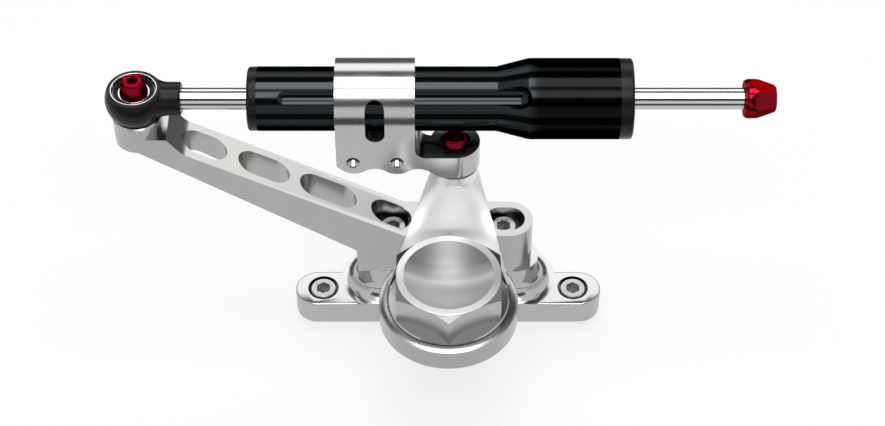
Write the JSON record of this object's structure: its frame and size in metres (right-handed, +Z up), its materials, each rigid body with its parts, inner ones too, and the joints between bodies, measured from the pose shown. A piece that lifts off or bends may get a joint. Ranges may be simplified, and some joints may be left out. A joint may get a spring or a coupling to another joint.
{
  "type": "steering damper",
  "caption": "Linear steering damper with through rod, body clamp, frame bracket and arm, and a stem nut plate that joins its pivot to the steering stem.",
  "frame": {"origin": "midway between the two frame screws, on the bracket's underside", "axes": "+X along the damper towards the adjuster knob, +Y ahead of the rider, +Z up"},
  "size_m": [0.2423, 0.0863, 0.1283],
  "materials": {
    "polished_aluminium": "polished",
    "stainless_steel": "polished",
    "bearing_steel": "ground",
    "spring_steel": "satin",
    "red_anodised": "anodised, glossy",
    "black_satin": "anodised, satin",
    "black_gloss_anodised": "anodised, glossy",
    "hard_chrome": "ground and polished",
    "inner_aluminium": "turned",
    "slide_plastic": "matt",
    "seal_rubber": "matt",
    "bush_bronze": "sintered"
  },
  "bodies": {
    "frame_side": {"frame_bracket": "polished_aluminium", "bracket_screws": "stainless_steel", "reach_arm": "polished_aluminium", "arm_screws": "stainless_steel", "rod_end_sleeve": "polished_aluminium", "rod_end_ball": "bearing_steel", "rod_end_bolt": "red_anodised"},
    "rod_side": {"rod_end": "black_satin", "rod_end_race": "bearing_steel", "rod_end_clip": "spring_steel", "damper_rod": "hard_chrome", "damper_piston": "inner_aluminium", "piston_band": "slide_plastic", "piston_clips": "spring_steel"},
    "adjuster": {"adjuster_knob": "red_anodised"},
    "needle": {"adjuster_needle": "stainless_steel"},
    "body_side": {"barrel": "black_gloss_anodised", "left_cap": "black_satin", "right_cap": "black_satin", "rod_bushes": "bush_bronze", "rod_seals": "seal_rubber", "rod_wipers": "seal_rubber", "cap_o_rings": "seal_rubber", "body_clamp": "polished_aluminium", "clamp_screws": "stainless_steel", "pivot_race": "bearing_steel", "pivot_clip": "spring_steel"},
    "separator": {"separator_piston": "inner_aluminium", "separator_ring": "seal_rubber"},
    "stem_side": {"stem_plate": "polished_aluminium", "pivot_ball": "bearing_steel", "pivot_washer": "stainless_steel", "pivot_bolt": "red_anodised"},
    "nut": {"stem_nut": "polished_aluminium"}
  },
  "joints": [
    {"name": "rod_end_swing", "type": "hinge", "parent": "frame_side", "child": "rod_side", "pos_m": [-0.1134, 0.0054, 0.1079], "axis": [0, 0, 1], "range_deg": [-25, 1]},
    {"name": "damper_stroke", "type": "slide", "parent": "rod_side", "child": "body_side", "axis": [1, 0, 0], "range_m": [-0.022, 0.038]},
    {"name": "pivot_swing", "type": "hinge", "parent": "body_side", "child": "stem_side", "pos_m": [0.0024, -0.00035, 0.086], "axis": [0, 0, 1], "range_deg": [-30, 30]},
    {"name": "nut_turn", "type": "hinge", "parent": "stem_side", "child": "nut", "pos_m": [0, -0.0406, 0.0446], "axis": [0, 0, 1], "continuous": true},
    {"name": "needle_feed", "type": "slide", "parent": "rod_side", "child": "needle", "axis": [1, 0, 0], "range_m": [-0.001, 0.001]},
    {"name": "knob_turn", "type": "hinge", "parent": "rod_side", "child": "adjuster", "pos_m": [0.1067, 0.0054, 0.1079], "axis": [1, 0, 0], "range_deg": [-720, 720]},
    {"name": "separator_float", "type": "slide", "parent": "body_side", "child": "separator", "axis": [1, 0, 0], "range_m": [-0.004, 0.0025]}
  ],
  "couplings": [
    {"joint": "knob_turn", "follows": "needle_feed", "rad_per_m": 12566}
  ]
}
